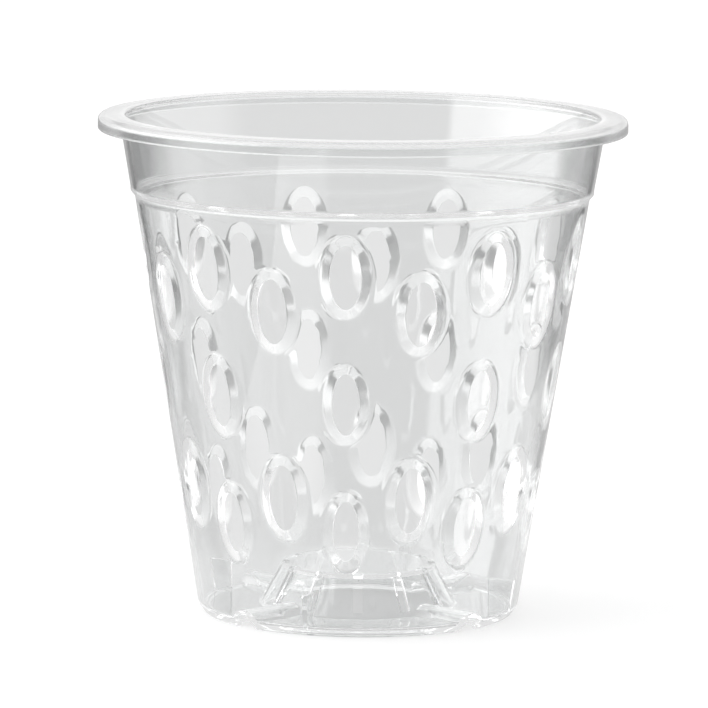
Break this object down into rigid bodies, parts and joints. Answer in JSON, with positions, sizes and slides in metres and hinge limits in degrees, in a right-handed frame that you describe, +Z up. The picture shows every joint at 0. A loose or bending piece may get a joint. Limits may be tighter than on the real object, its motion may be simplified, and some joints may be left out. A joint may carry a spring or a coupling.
{
  "type": "orchid pot with slots",
  "caption": "Clear tapered orchid pot with a wide lip, a plain collar, rows of oval air slots, a slotted dome in its floor and drain arches in its foot.",
  "frame": {"origin": "on the pot's axis, on the plane of the edge that it stands on", "axes": "+Z up along the pot's axis, through the mouth; -Y towards the front of the picture"},
  "size_m": [0.13, 0.13, 0.123],
  "materials": {
    "clear_plastic": "clear, glossy, injection moulded"
  },
  "bodies": {
    "root": {"rim_lip": "clear_plastic", "collar_band": "clear_plastic", "stacking_shoulder": "clear_plastic", "slotted_wall": "clear_plastic", "foot_band": "clear_plastic", "floor_ring": "clear_plastic", "aeration_dome": "clear_plastic", "dome_cap": "clear_plastic", "drain_tunnel_1": "clear_plastic", "drain_tunnel_2": "clear_plastic", "drain_tunnel_3": "clear_plastic", "drain_tunnel_4": "clear_plastic", "stacking_rib_1": "clear_plastic", "stacking_rib_2": "clear_plastic", "stacking_rib_3": "clear_plastic", "stacking_rib_4": "clear_plastic"}
  },
  "joints": []
}
